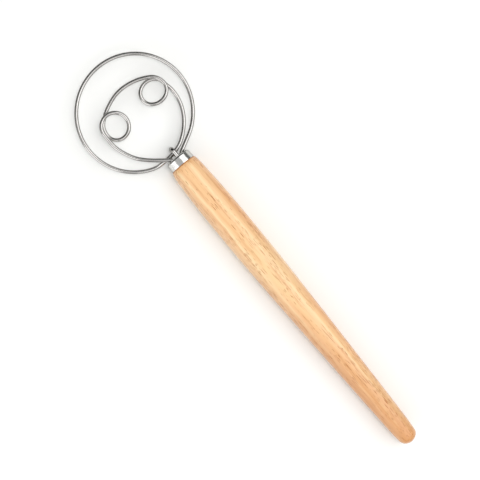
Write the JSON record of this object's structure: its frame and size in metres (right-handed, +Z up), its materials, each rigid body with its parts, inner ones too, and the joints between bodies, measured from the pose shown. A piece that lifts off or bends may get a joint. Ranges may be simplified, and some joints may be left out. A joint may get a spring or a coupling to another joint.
{
  "type": "dough whisk",
  "caption": "Dough whisk: a turned wooden handle with a metal ferrule and a flat round head bent from one wire, with an inner loop and small eyes, for mixing stiff dough by hand.",
  "frame": {"origin": "under the middle of the outline, on the surface that the belly of the handle lies on", "axes": "+X along the handle towards the head, +Y to the left of it across the flat of the head, +Z up, square to the head"},
  "size_m": [0.3432, 0.0856, 0.0244],
  "materials": {
    "wood": "turned and oiled pale hardwood with fine open pores",
    "ferrule_steel": "drawn stainless steel, polished bright",
    "wire_steel": "bright drawn stainless steel wire, polished",
    "resin": "cast amber resin, semi-gloss"
  },
  "bodies": {
    "root": {"handle": "wood", "ferrule": "ferrule_steel", "whisk_wire": "wire_steel", "neck_hook": "wire_steel", "potting": "resin"}
  },
  "joints": []
}
